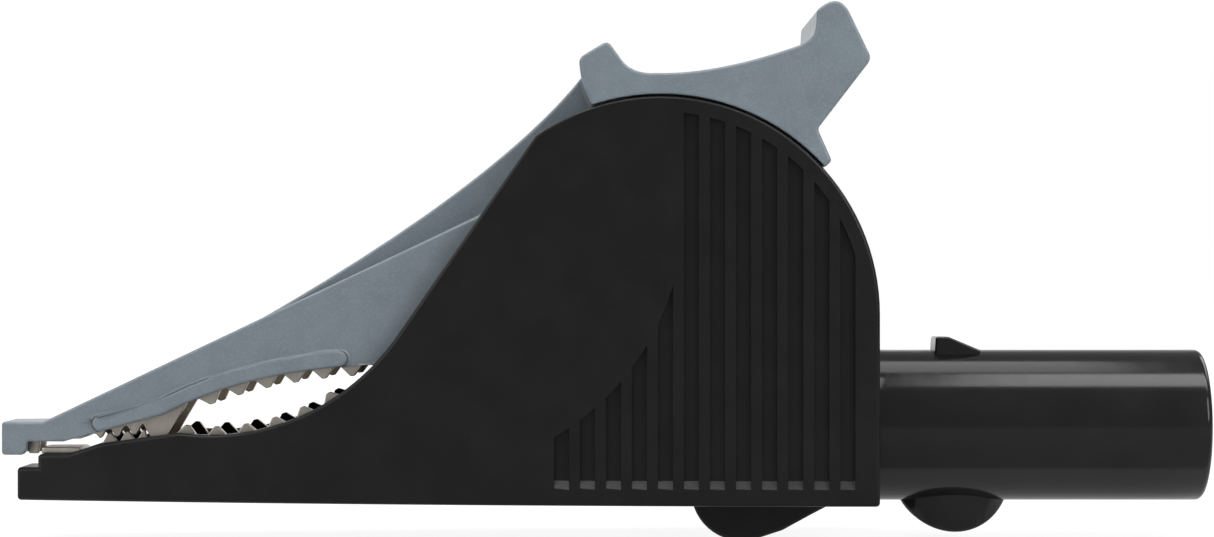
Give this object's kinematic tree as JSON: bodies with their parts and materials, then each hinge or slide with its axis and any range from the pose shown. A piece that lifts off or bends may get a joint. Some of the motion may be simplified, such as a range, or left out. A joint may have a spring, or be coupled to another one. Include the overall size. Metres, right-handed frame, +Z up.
{
  "type": "safety crocodile clip",
  "caption": "Sprung crocodile clip with an insulating housing, a grey thumb lever, toothed sheet-metal jaws and a rear barrel with a safety socket.",
  "frame": {"origin": "mouth of the 4 mm socket contact, on the socket's axis", "axes": "+X along the socket's axis out of its mouth, -X towards the jaws' nose, +Z up towards the thumb saddle, +Y across the clip"},
  "size_m": [0.0953, 0.02, 0.0419],
  "materials": {
    "housing_plastic": "matte black polyamide",
    "barrel_plastic": "glossy black",
    "lever_plastic": "fine-grained blue grey",
    "jaw_metal": "nickel-plated sheet, satin",
    "contact_metal": "nickel-plated, turned",
    "steel": "bright steel",
    "spring_steel": "drawn wire",
    "bush_plastic": "natural plastic"
  },
  "bodies": {
    "root": {"housing": "housing_plastic", "socket_barrel": "barrel_plastic", "contact_sleeve": "barrel_plastic", "socket_contact": "contact_metal", "lock_washer": "steel", "contact_nut": "contact_metal", "lower_jaw": "jaw_metal", "pivot_pin": "steel", "pivot_washers": "steel", "spring_bush": "bush_plastic", "torsion_spring": "spring_steel"},
    "lever_body": {"lever": "lever_plastic", "upper_jaw": "jaw_metal"}
  },
  "joints": [
    {"name": "lever_hinge", "type": "hinge", "parent": "root", "child": "lever_body", "pos_m": [-0.0418, 0, 0.0089], "axis": [0, 1, 0], "range_deg": [0, 34], "stiffness_Nm_per_rad": 0.3, "springref_deg": -40.11, "deforming": ["torsion_spring"]}
  ]
}
